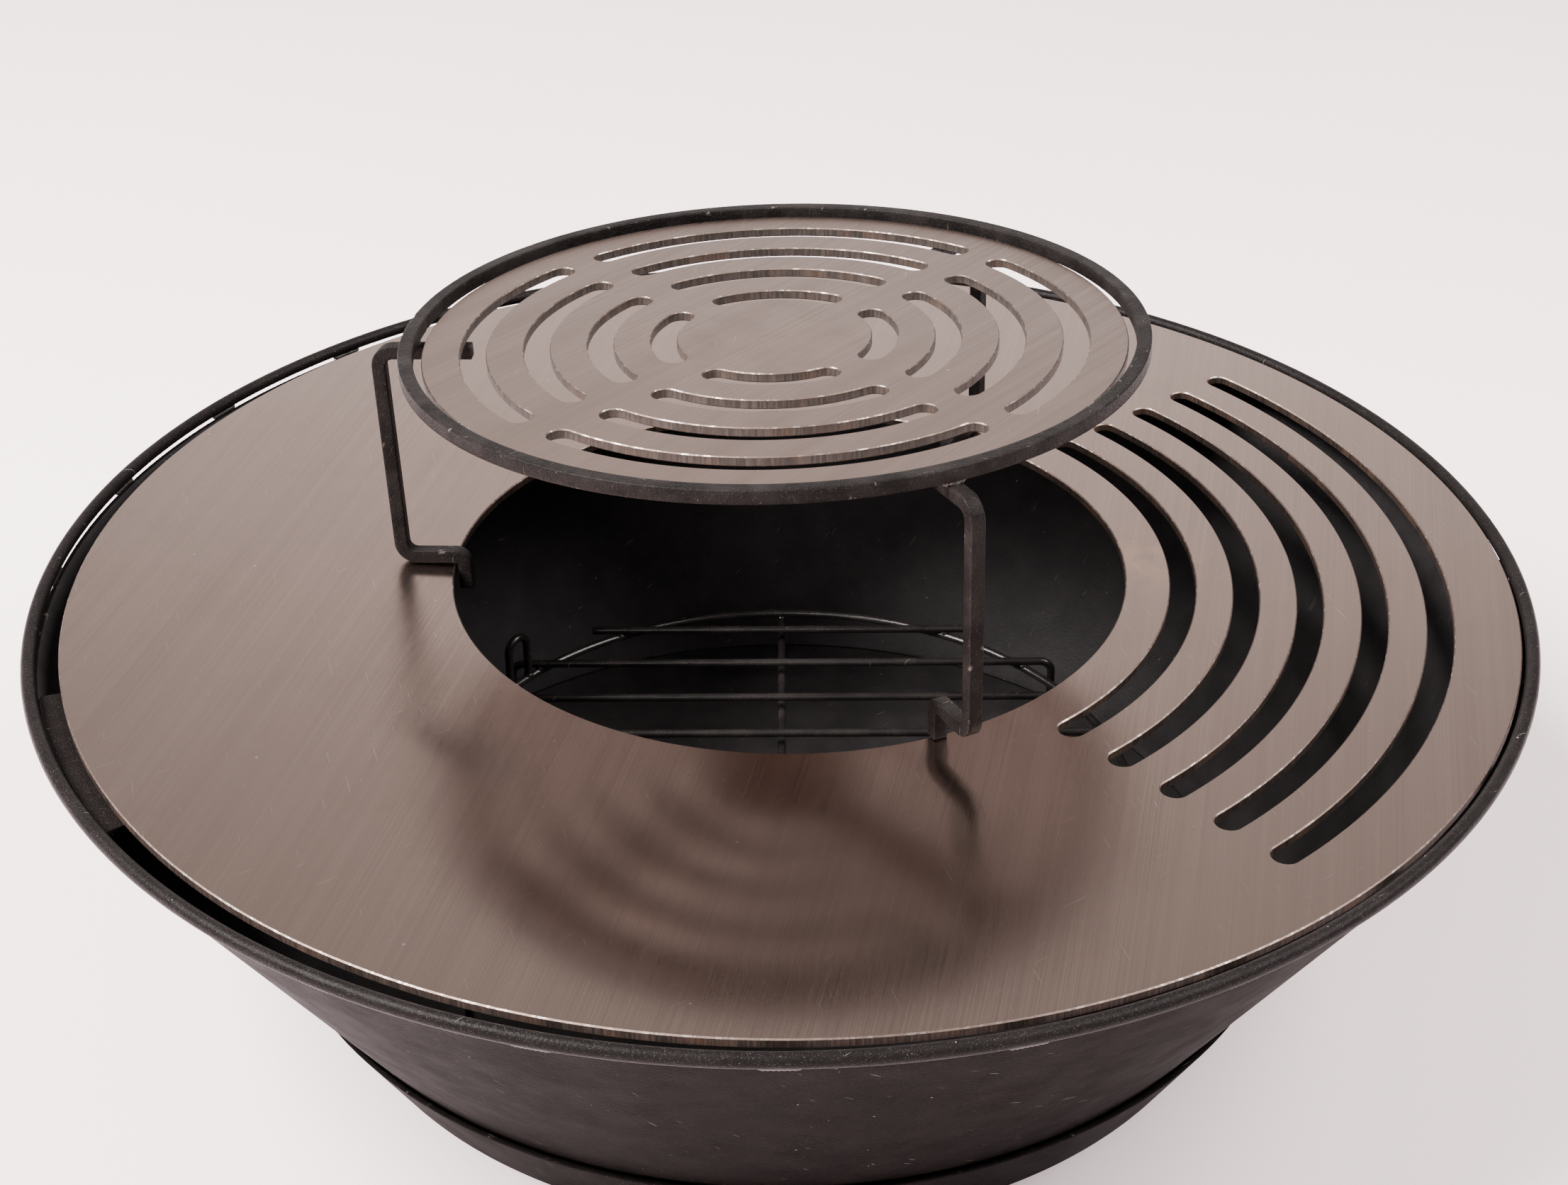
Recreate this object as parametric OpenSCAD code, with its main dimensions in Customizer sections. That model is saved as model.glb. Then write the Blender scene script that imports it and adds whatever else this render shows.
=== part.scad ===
// Fire bowl grill for a table top.
// A conical bowl stands in a conical ring. A steel griddle ring rests on ledges inside the
// bowl's rim, a three-legged warming rack hooks into the griddle's hole and holds a slotted
// disc, and a wire fire grate stands on the bowl's floor.
// The origin is on the table, on the bowl's axis. +Z is up, and -Y is the front.

/* [Griddle ring] */
// Outside diameter of the griddle ring
griddle_d = 620; // [520:5:740]
// Diameter of the hole in its middle
hole_d = 292; // [240:2:350]
// Thickness of the griddle ring
griddle_t = 4; // [3:0.5:6]
// Bevel on its top edges
griddle_bevel = 0.5; // [0.2:0.1:1]
// Number of vent slots
vent_count = 5; // [2:1:5]
// Width of a vent slot
vent_w = 11; // [6:0.5:12]
// Land between the hole and the first vent slot
vent_inner_land = 19; // [12:1:30]
// Land between the last vent slot and the outside edge
vent_outer_land = 27; // [15:1:35]
// Angle that the vent slots span, from end centre to end centre
vent_angle = 89; // [40:1:120]
// Direction of the middle of the vent slots
vent_turn = -5.2; // [-180:0.1:180]
// How far the loose griddle ring lies off the bowl's axis, towards +X
griddle_shift = 4; // [0:0.5:5]

/* [Bowl] */
// Height of the griddle's top face above the table
griddle_h = 186; // [155:1:225]
// Thickness of the bowl's sheet
wall_t = 2; // [1.5:0.5:3]
// Lean of the bowl's wall, from vertical
wall_lean = 32.2; // [25:0.1:34]
// Height of the underside of the floor above the table
floor_h = 8; // [5:1:15]
// Thickness of the floor
floor_t = 2.5; // [2:0.5:4]
// Diameter of the rim's round rod
rod_d = 6; // [5:0.5:8]
// Height of the rod's top above the griddle's top face
rod_proud = 1.5; // [0:0.5:2]
// Gap between the wall's top edge and the rod, bridged by stitch welds
rod_gap = 1.2; // [0.4:0.1:1.5]
// How far the rod stands outside the wall's top edge
rod_out = 1.5; // [0:0.1:2]
// Number of stitch welds on the rim
stitch_count = 24; // [12:2:36]
// Thickness of a stitch weld
stitch_d = 2.6; // [2:0.1:4]
// Length of a stitch weld along the rim
stitch_len = 16; // [8:1:30]
// Number of ledges that the griddle ring rests on
ledge_count = 4; // [3:1:4]
// Width of a ledge
ledge_w = 16; // [14:1:22]
// Thickness of a ledge
ledge_t = 3; // [2:0.5:4]
// Angle that a ledge spans
ledge_angle = 19; // [8:1:30]
// Direction of the middle of the first ledge
ledge_turn = -152.5; // [-180:0.5:180]

/* [Stand ring] */
// Height of the stand ring
stand_h = 39; // [30:1:48]
// Thickness of the stand ring's sheet
stand_t = 2; // [1.5:0.5:3]
// Lean of the stand ring, from vertical
stand_lean = 29.4; // [20:0.1:32]
// Number of lugs between the stand ring and the bowl
lug_count = 4; // [3:1:4]
// Height of a lug
lug_h = 14; // [8:1:18]
// Angle that a lug spans
lug_angle = 5; // [3:0.5:10]
// Height of a lug's underside above the table
lug_z = 12; // [6:1:12]

/* [Warming rack] */
// Side of the rack's square bar
bar = 6; // [5:0.5:8]
// Height of the rack ring's top above the legs' feet
rack_h = 109.5; // [80:0.5:130]
// Gap between the rack ring and its legs' arms, filled by welds
arm_gap = 1.5; // [0.5:0.1:2.5]
// How far the arms reach under the disc
arm_reach = 18; // [8:1:25]
// How far the legs stand outside the rack ring
leg_standoff = 15.8; // [10:0.5:25]
// How far a leg leans in from its top to its foot
leg_lean = 1; // [0.5:0.5:5]
// Inside radius of the bends in the bar
bend_in = 3.5; // [2:0.5:6]
// Inside radius of the bend where a foot turns down into its hook
hook_bend = 1.2; // [0.5:0.1:1.4]
// Direction of the first leg
leg_turn = 175.7; // [-180:0.1:180]
// Diameter of the weld between an arm and the rack ring
weld_d = 6.5; // [5:0.5:9]
// Tilt of the rack, which stands with its second hook on the griddle and not in the hole
rack_tilt = 3.2; // [2.5:0.1:4]
// How far the rack has slipped from the hole's middle towards its second leg
rack_slip = 6.5; // [5.5:0.1:8]
// How far it has slipped sideways, towards its first leg
rack_side = 6.5; // [0:0.1:6.6]

/* [Slotted disc] */
// Thickness of the slotted disc
disc_t = 4; // [3:0.5:6]
// Number of rings of slots
disc_rings = 4; // [2:1:4]
// Width of the slots in the disc
disc_slot_w = 10.7; // [6:0.1:11]
// Width of the four spokes between the slots
spoke_w = 14.4; // [8:0.2:16]
// Solid land at the disc's edge
disc_land = 15.6; // [14:0.2:35]
// Radius of the middle line of the innermost slots
disc_first_r = 45.7; // [30:0.1:50]
// How far the disc is turned
disc_turn = -1.5; // [-45:0.1:45]

/* [Fire grate] */
// Wire diameter of the grate
wire_d = 4; // [3:0.5:6]
// Height of the grate ring's middle above the floor
grate_h = 49; // [35:1:60]
// Gap between the grate ring and the bowl's wall
grate_wall_gap = 76; // [70:1:90]
// Number of parallel bars
grate_bars = 10; // [6:2:12]
// Distance from the grate ring's end to the outermost bars
grate_end = 22.7; // [15:0.1:30]
// How far the bars stand out past the ring
bar_overhang = 14; // [8:1:18]
// Radius of the bends in the wire
wire_bend = 6; // [5:0.5:9]
// Height of the lifting loop
loop_h = 24; // [18:1:30]
// Width of the lifting loop, from wire middle to wire middle
loop_w = 13; // [11:1:18]
// Direction of the lifting loop
loop_turn = 143; // [-180:1:180]

/* [Clearances] */
// Gap between the griddle ring and the rim's rod, on the radius
rim_clear = 5.4; // [5.2:0.1:8]
// Gap between the stand ring's top edge and the bowl
stand_gap = 1.3; // [1:0.1:2]
// Gap between a lug and the bowl
lug_clear = 0.3; // [0.3:0.1:0.5]
// Gap between the hooks and the hole's edge, on the radius
hook_clear = 4; // [3.9:0.1:6]
// Gap between the slotted disc and the rack ring, on the radius
disc_clear = 3.3; // [2.5:0.1:4]
// How much smaller than the hole the disc is, on the radius
cut_gap = 1; // [0.5:0.1:2]
// How much narrower a slot's round ends are than the slot
slot_step = 0.1; // [0.1:0.05:0.4]
// Gap under a loose piece where it rests on another
seat_gap = 0.05; // [0.02:0.01:0.1]

/* [Hidden] */

$fn = 96;
full = 360;
arc_steps = 8;
// How far cutters run past the faces they cut
over = 1;

// Griddle ring
griddle_r = griddle_d / 2;
hole_r = hole_d / 2;
vent_first = hole_r + vent_inner_land + vent_w / 2;
vent_last = griddle_r - vent_outer_land - vent_w / 2;
vent_pitch = (vent_last - vent_first) / (vent_count - 1);

// Bowl: radii of the wall's outer and inner faces at a height
rod_r = griddle_r + rim_clear + rod_d / 2;
rod_z = griddle_h + rod_proud - rod_d / 2;
wall_top = rod_z - rod_d / 2 - rod_gap;
wall_bottom = floor_h + floor_t;
function wall_out(z) = rod_r - rod_out + wall_t / 2 - tan(wall_lean) * (wall_top - z);
function wall_in(z) = wall_out(z) - wall_t / cos(wall_lean);
ledge_top = griddle_h - griddle_t - seat_gap;
ledge_root = min(wall_top, ledge_top);

// Stand ring: radii of its inner and outer faces at a height
function stand_in(z) = wall_out(stand_h) + stand_gap - tan(stand_lean) * (stand_h - z);
function stand_out(z) = stand_in(z) + stand_t / cos(stand_lean);

// Warming rack, measured from its own axis and the underside of its feet
disc_r = hole_r - cut_gap;
rack_in = disc_r + disc_clear;
rack_out = rack_in + bar;
arm_top = rack_h - bar - arm_gap;
arm_z = arm_top - bar / 2;
arm_start = disc_r - arm_reach;
leg_r = rack_out + leg_standoff - bar / 2;
foot_r = leg_r - leg_lean;
foot_z = bar / 2;
hook_r = hole_r - hook_clear - bar / 2;
bend_mid = bend_in + bar / 2;
hook_mid = hook_bend + bar / 2;
leg_step = full / 3;
// The rack leans about the feet of its first and third legs, so that the second hook's end
// stands on the edge of the hole
low_corner = (foot_r - bend_mid) * cos(leg_step / 2) + bar / 2 * sin(leg_step / 2);
rack_lift = low_corner * sin(rack_tilt) + seat_gap;
hook_stand = hole_r - rack_slip;
hook_len = (rack_lift - seat_gap) / cos(rack_tilt) + hook_stand * tan(rack_tilt);

// Slotted disc
disc_last_r = disc_r - disc_land - disc_slot_w / 2;
disc_pitch = (disc_last_r - disc_first_r) / (disc_rings - 1);
disc_quarters = 4;

// Fire grate
grate_z = wall_bottom + grate_h;
grate_r = wall_in(grate_z) - grate_wall_gap;
grate_pitch = 2 * (grate_r - grate_end) / (grate_bars - 1);
bars_z = grate_z + wire_d;
cross_z = grate_z - wire_d;
function bar_y(n) = grate_r - grate_end - (n - 1) * grate_pitch;
function bar_half(n) = sqrt(grate_r * grate_r - bar_y(n) * bar_y(n)) + bar_overhang;

black = [0.11, 0.105, 0.1];
steel = [0.62, 0.56, 0.53];
weld_grey = [0.2, 0.19, 0.18];

// Points of an arc about c from angle a to angle b
function arc(c, r, a, b) =
    [for (i = [0 : arc_steps]) c + r * [cos(a + (b - a) * i / arc_steps), sin(a + (b - a) * i / arc_steps)]];

// Ring turned from a profile whose points are [radius, height]
module turned(profile) {
    rotate_extrude() polygon(profile);
}

// Part of a ring, centred on the angle mid
module turned_part(profile, mid, span) {
    rotate([0, 0, mid - span / 2]) rotate_extrude(angle = span) polygon(profile);
}

// Cutter for a curved slot with round ends, centred on the angle mid
module arc_slot(r, w, mid, span, z0, z1) {
    rotate([0, 0, mid - span / 2])
        rotate_extrude(angle = span) translate([r - w / 2, z0]) square([w, z1 - z0]);
    for (side = [-1, 1]) rotate([0, 0, mid + side * span / 2])
        translate([r, 0, z0]) cylinder(d = w - slot_step, h = z1 - z0);
}

// Round wire from point to point, along X, Y or Z
module wire_x(x0, x1, y, z) {
    translate([x0, y, z]) rotate([0, 90, 0]) cylinder(d = wire_d, h = x1 - x0);
}
module wire_z(x, y, z0, z1) {
    translate([x, y, z0]) cylinder(d = wire_d, h = z1 - z0);
}

module stand_ring() {
    color(black) turned([[stand_in(0), 0], [stand_out(0), 0],
        [stand_out(stand_h), stand_h], [stand_in(stand_h), stand_h]]);
}

module stand_lug(n) {
    top = lug_z + lug_h;
    color(black) turned_part([[wall_out(lug_z) + lug_clear, lug_z], [stand_in(lug_z), lug_z],
        [stand_in(top), top], [wall_out(top) + lug_clear, top]], full * (n - 0.5) / lug_count, lug_angle);
}

module bowl_wall() {
    color(black) turned([[wall_in(wall_bottom), wall_bottom], [wall_out(wall_bottom), wall_bottom],
        [wall_out(wall_top), wall_top], [wall_in(wall_top), wall_top]]);
}

module bowl_floor() {
    color(black) translate([0, 0, floor_h]) cylinder(r = wall_out(wall_bottom), h = floor_t);
}

module rim_rod() {
    color(black) rotate_extrude() translate([rod_r, rod_z]) circle(d = rod_d);
}

// Short beads in the gap between the wall's top edge and the rod
module rim_stitches() {
    span = stitch_len / rod_r * 180 / PI;
    color(weld_grey) for (i = [0 : stitch_count - 1])
        rotate([0, 0, full * i / stitch_count - span / 2])
            rotate_extrude(angle = span) translate([rod_r - rod_out / 2, wall_top + rod_gap / 2])
                circle(d = stitch_d);
}

module griddle_ledge(n) {
    r = wall_in(ledge_root);
    color(black) turned_part([[r - ledge_w, ledge_top - ledge_t],
        [wall_in(ledge_root - ledge_t), ledge_root - ledge_t], [r, ledge_root],
        [r - rod_gap, ledge_top], [r - ledge_w, ledge_top]],
        ledge_turn + full * (n - 1) / ledge_count, ledge_angle);
}

module griddle_ring() {
    z0 = griddle_h - griddle_t;
    b = griddle_bevel;
    color(steel) translate([griddle_shift, 0, 0]) difference() {
        turned([[hole_r, z0], [griddle_r, z0], [griddle_r, griddle_h - b], [griddle_r - b, griddle_h],
            [hole_r + b, griddle_h], [hole_r, griddle_h - b]]);
        for (i = [0 : vent_count - 1])
            arc_slot(vent_first + i * vent_pitch, vent_w, vent_turn, vent_angle, z0 - over, griddle_h + over);
    }
}

// The rack's pieces are drawn about its own axis, upright and from the feet up
module on_rack() {
    lean_turn = leg_turn + leg_step;
    translate([griddle_shift, 0, griddle_h + rack_lift]) rotate([0, 0, lean_turn])
        translate([rack_slip, -rack_side, 0]) rotate([0, -rack_tilt, 0])
            rotate([0, 0, -lean_turn]) children();
}

module rack_ring() {
    color(black) on_rack() turned([[rack_in, rack_h - bar], [rack_out, rack_h - bar],
        [rack_out, rack_h], [rack_in, rack_h]]);
}

// Outline of a leg in the plane of radius and height: arm, upright, foot and hook
function leg_outline() =
    let (h = bar / 2, o = bend_in + bar, lean = atan(leg_lean / (arm_z - foot_z)))
    concat(
        [[arm_start, arm_z + h]],
        arc([leg_r + h - o, arm_z + h - o], o, 90, -lean),
        arc([foot_r + h - o, foot_z - h + o], o, -lean, -90),
        arc([hook_r + hook_mid, foot_z - hook_mid], hook_bend, 90, 180),
        [[hook_r + h, -hook_len], [hook_r - h, -hook_len]],
        arc([hook_r + hook_mid, foot_z - hook_mid], hook_bend + bar, 180, 90),
        arc([foot_r + h - o, foot_z - h + o], bend_in, -90, -lean),
        arc([leg_r + h - o, arm_z + h - o], bend_in, -lean, 90),
        [[arm_start, arm_z - h]]);

module rack_leg(n) {
    color(black) on_rack() rotate([0, 0, leg_turn + leg_step * (n - 1)])
        rotate([90, 0, 0]) translate([0, 0, -bar / 2]) linear_extrude(bar) polygon(leg_outline());
}

module rack_weld(n) {
    color(weld_grey) on_rack() rotate([0, 0, leg_turn + leg_step * (n - 1)])
        translate([rack_in + bar / 2, 0, rack_h - bar - arm_gap / 2]) sphere(d = weld_d);
}

// Round plate with rings of curved slots, four to a ring, and a solid middle
module slotted_disc() {
    z0 = arm_top + seat_gap;
    color(steel) on_rack() difference() {
        translate([0, 0, z0]) cylinder(r = disc_r, h = disc_t);
        for (i = [0 : disc_rings - 1], q = [0 : disc_quarters - 1]) {
            r = disc_first_r + i * disc_pitch;
            land = 2 * asin((spoke_w + disc_slot_w) / 2 / r);
            arc_slot(r, disc_slot_w, disc_turn + full / disc_quarters * q, full / disc_quarters - land,
                z0 - over, z0 + disc_t + over);
        }
    }
}

module grate_ring() {
    color(black) rotate_extrude() translate([grate_r, grate_z]) circle(d = wire_d);
}

module grate_cross_bar() {
    reach = grate_r + wire_d / 2;
    color(black) translate([0, reach, cross_z]) rotate([90, 0, 0]) cylinder(d = wire_d, h = 2 * reach);
}

// The second bar from each end is bent down at both ends, as the grate's feet
module grate_bar(n) {
    x = bar_half(n);
    y = bar_y(n);
    bent = n == 2 || n == grate_bars - 1;
    color(black) if (bent) {
        for (turn = [0, 180]) translate([0, y, 0]) rotate([0, 0, turn]) {
            wire_x(0, x - wire_bend, 0, bars_z);
            translate([x - wire_bend, 0, bars_z - wire_bend]) rotate([90, 0, 0])
                rotate_extrude(angle = 90) translate([wire_bend, 0]) circle(d = wire_d);
            wire_z(x, 0, wall_bottom, bars_z - wire_bend);
        }
    } else wire_x(-x, x, y, bars_z);
}

// Hairpin of wire that stands on the grate ring
module lifting_loop() {
    half = loop_w / 2;
    color(black) rotate([0, 0, loop_turn]) translate([grate_r, 0, grate_z + wire_d / 2]) {
        for (side = [-1, 1]) translate([0, side * half, 0]) cylinder(d = wire_d, h = loop_h - half);
        translate([0, 0, loop_h - half]) rotate([90, 0, 90])
            rotate_extrude(angle = 180) translate([half, 0]) circle(d = wire_d);
    }
}

stand_ring();
stand_lug(1);  // stand_lug_1
stand_lug(2);  // stand_lug_2
stand_lug(3);  // stand_lug_3
stand_lug(4);  // stand_lug_4
bowl_wall();
bowl_floor();
rim_rod();
rim_stitches();
griddle_ledge(1);  // griddle_ledge_1
griddle_ledge(2);  // griddle_ledge_2
griddle_ledge(3);  // griddle_ledge_3
griddle_ledge(4);  // griddle_ledge_4
griddle_ring();
rack_ring();
rack_leg(1);  // rack_leg_1
rack_leg(2);  // rack_leg_2
rack_leg(3);  // rack_leg_3
rack_weld(1);  // rack_weld_1
rack_weld(2);  // rack_weld_2
rack_weld(3);  // rack_weld_3
slotted_disc();
grate_ring();
grate_cross_bar();
lifting_loop();
grate_bar(1);  // grate_bar_1
grate_bar(2);  // grate_bar_2
grate_bar(3);  // grate_bar_3
grate_bar(4);  // grate_bar_4
grate_bar(5);  // grate_bar_5
grate_bar(6);  // grate_bar_6
grate_bar(7);  // grate_bar_7
grate_bar(8);  // grate_bar_8
grate_bar(9);  // grate_bar_9
grate_bar(10);  // grate_bar_10
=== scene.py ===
import math

import bmesh
import bpy
import numpy as np
from mathutils import Matrix, Vector, noise
from mathutils.geometry import tessellate_polygon


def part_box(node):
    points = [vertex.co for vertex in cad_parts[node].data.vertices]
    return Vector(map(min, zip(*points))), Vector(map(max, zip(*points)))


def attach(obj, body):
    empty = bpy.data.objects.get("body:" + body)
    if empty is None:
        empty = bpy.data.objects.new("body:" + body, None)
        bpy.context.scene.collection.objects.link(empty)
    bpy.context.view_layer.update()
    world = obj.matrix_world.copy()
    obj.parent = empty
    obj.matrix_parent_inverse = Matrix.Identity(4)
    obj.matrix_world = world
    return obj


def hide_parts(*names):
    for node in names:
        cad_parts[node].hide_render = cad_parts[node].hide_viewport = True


# Looks of the fire bowl grill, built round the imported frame. Metres, row frame:
# the origin is on the table on the bowl's axis, +Z is up and -Y is the front.
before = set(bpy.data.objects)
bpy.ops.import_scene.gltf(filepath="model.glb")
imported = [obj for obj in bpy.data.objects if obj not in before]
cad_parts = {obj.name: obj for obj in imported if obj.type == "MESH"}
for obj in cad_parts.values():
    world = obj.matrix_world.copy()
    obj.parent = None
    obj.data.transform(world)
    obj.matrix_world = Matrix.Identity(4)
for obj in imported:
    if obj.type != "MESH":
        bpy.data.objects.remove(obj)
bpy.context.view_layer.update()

# ---- driving sizes that the node boxes don't give -------------------------------------
VENT_COUNT = 5
VENT_WIDTH = 0.011
VENT_INNER_LAND = 0.019
VENT_OUTER_LAND = 0.027
VENT_ANGLE = math.radians(89)
VENT_TURN = math.radians(-5.2)
DISC_RINGS = 4
DISC_QUARTERS = 4
DISC_SLOT_WIDTH = 0.0107
DISC_SPOKE = 0.0144
DISC_LAND = 0.0156
DISC_FIRST_R = 0.0457
DISC_TURN = math.radians(-1.5)
BAR = 0.006
RACK_HEIGHT = 0.1095
ARM_GAP = 0.0015
ARM_REACH = 0.018
LEG_STANDOFF = 0.0158
LEG_LEAN = 0.001
BEND_IN = 0.0035
HOOK_BEND = 0.0012
HOOK_CLEAR = 0.004
LEG_TURN = math.radians(175.7)
LEG_COUNT = 3
SUPPORT_COUNT = 4                   # lugs on the stand, and ledges in the bowl
WIRE_BEND = 0.006
LOOP_TURN = math.radians(143)
LOOP_WIDTH = 0.013
STITCH_COUNT = 24
STITCH_LEN = 0.016
GRATE_BARS = 10
GRAIN_TURN = math.radians(78)       # direction of the brushing on the griddle
DISC_GRAIN_TURN = math.radians(52)  # and on the disc

# ---- bevels and rounded edges ------------------------------------------------------------
GRIDDLE_BEVEL = 0.0005
DISC_BEVEL = 0.0004
SHEET_EDGE = 0.0006
LUG_EDGE = 0.0003
LEDGE_EDGE = 0.0005
BAR_EDGE = 0.0007
END_EASE = 0.0006

# ---- frame measurements ------------------------------------------------------------------
BEND_LIMIT = 0.02      # sine of the smallest turn that counts as a corner
CORNER_MERGE = 0.0003
CORNER_SHARE = 0.45    # most of an edge that one corner's rounding may take


def points(node):
    """Vertices of a CAD node as an array."""
    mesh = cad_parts[node].data
    co = np.empty(len(mesh.vertices) * 3)
    mesh.vertices.foreach_get("co", co)
    return co.reshape(-1, 3)


def middle(node):
    lo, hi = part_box(node)
    return (lo + hi) / 2


def radii(node, axis=(0.0, 0.0)):
    """Smallest and largest distance of a node from an upright axis."""
    p = points(node)
    r = np.hypot(p[:, 0] - axis[0], p[:, 1] - axis[1])
    return float(r.min()), float(r.max())


def rack_place():
    """The rack's leaning frame: its own axis, with its height counted from the legs' feet."""
    spread = points("rack_ring")
    spread = spread - spread.mean(0)
    axis = Vector(np.linalg.eigh(spread.T @ spread)[1][:, 0])
    axis = axis if axis.z > 0 else -axis
    foot = middle("rack_ring") - axis * (RACK_HEIGHT - BAR / 2)
    lean = Vector((0, 0, 1)).rotation_difference(axis).to_matrix().to_4x4()
    return Matrix.Translation(foot) @ lean


def rack_points(node):
    """Vertices of a CAD node in the rack's leaning frame, as radius and height."""
    back = np.array(rack_place().inverted())
    p = points(node) @ back[:3, :3].T + back[:3, 3]
    return np.hypot(p[:, 0], p[:, 1]), p[:, 2]


def corners(node):
    """Corners (r, z) of a turned node's convex profile about the row's axis, in order."""
    p = points(node)
    pairs = np.stack([np.hypot(p[:, 0], p[:, 1]), p[:, 2]], 1)
    pairs = sorted({(round(float(r), 5), round(float(z), 5)) for r, z in pairs})

    def chain(run):
        kept = []
        for q in run:
            while len(kept) > 1 and bend_of(kept[-2], kept[-1], q) < BEND_LIMIT:
                kept.pop()
            if not kept or math.dist(kept[-1], q) > CORNER_MERGE:
                kept.append(q)
        return kept

    low, high = chain(pairs), chain(pairs[::-1])
    if math.dist(low[-1], high[0]) < CORNER_MERGE:
        high = high[1:]
    if math.dist(high[-1], low[0]) < CORNER_MERGE:
        high = high[:-1]
    return low + high


def bend_of(a, b, c):
    """Sine of the left turn from a-b to b-c."""
    ux, uy, vx, vy = b[0] - a[0], b[1] - a[1], c[0] - b[0], c[1] - b[1]
    return (ux * vy - uy * vx) / (math.hypot(ux, uy) * math.hypot(vx, vy) + 1e-12)


# ---- mesh helpers --------------------------------------------------------------------------


def rounded(outline, radius, steps=4, guard=0.0015):
    """Closed outline with its corners rounded. Points are (u, v, edge), where edge is 1 on a
    corner's arc and 0 on the flats, so that wear can follow the corners."""
    out = []
    count = len(outline)
    for i, (cu, cv) in enumerate(outline):
        c = Vector((cu, cv))
        before = Vector(outline[i - 1]) - c
        after = Vector(outline[(i + 1) % count]) - c
        a, b = before.normalized(), after.normalized()
        half = a.angle(b) / 2
        room = min(CORNER_SHARE * before.length, CORNER_SHARE * after.length)
        reach = min(radius / math.tan(half), room)
        r = reach * math.tan(half)
        centre = c + (a + b).normalized() * (r / math.sin(half))
        start, end = c + a * reach - centre, c + b * reach - centre
        turn = start.angle_signed(end)
        wear = min(guard, CORNER_SHARE * before.length - reach)
        if wear > 0.0001:
            out.append((*(c + a * (reach + wear)), 0.0))
        for k in range(steps + 1):
            p = centre + Matrix.Rotation(-turn * k / steps, 2) @ start
            out.append((p.x, p.y, 1.0))
        wear = min(guard, CORNER_SHARE * after.length - reach)
        if wear > 0.0001:
            out.append((*(c + b * (reach + wear)), 0.0))
    return out


def square_section(side, radius):
    h = side / 2
    return rounded([(-h, -h), (h, -h), (h, h), (-h, h)], radius, 3, side / 5)


def round_section(radius, count=16):
    turns = [2 * math.pi * k / count for k in range(count)]
    return [(radius * math.cos(t), radius * math.sin(t), 0.0) for t in turns]


def arc(cx, cy, r, a, b, steps):
    """Points on an arc about (cx, cy) from angle a to angle b, in degrees."""
    turns = [math.radians(a + (b - a) * k / steps) for k in range(steps + 1)]
    return [(cx + r * math.cos(t), cy + r * math.sin(t)) for t in turns]


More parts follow.
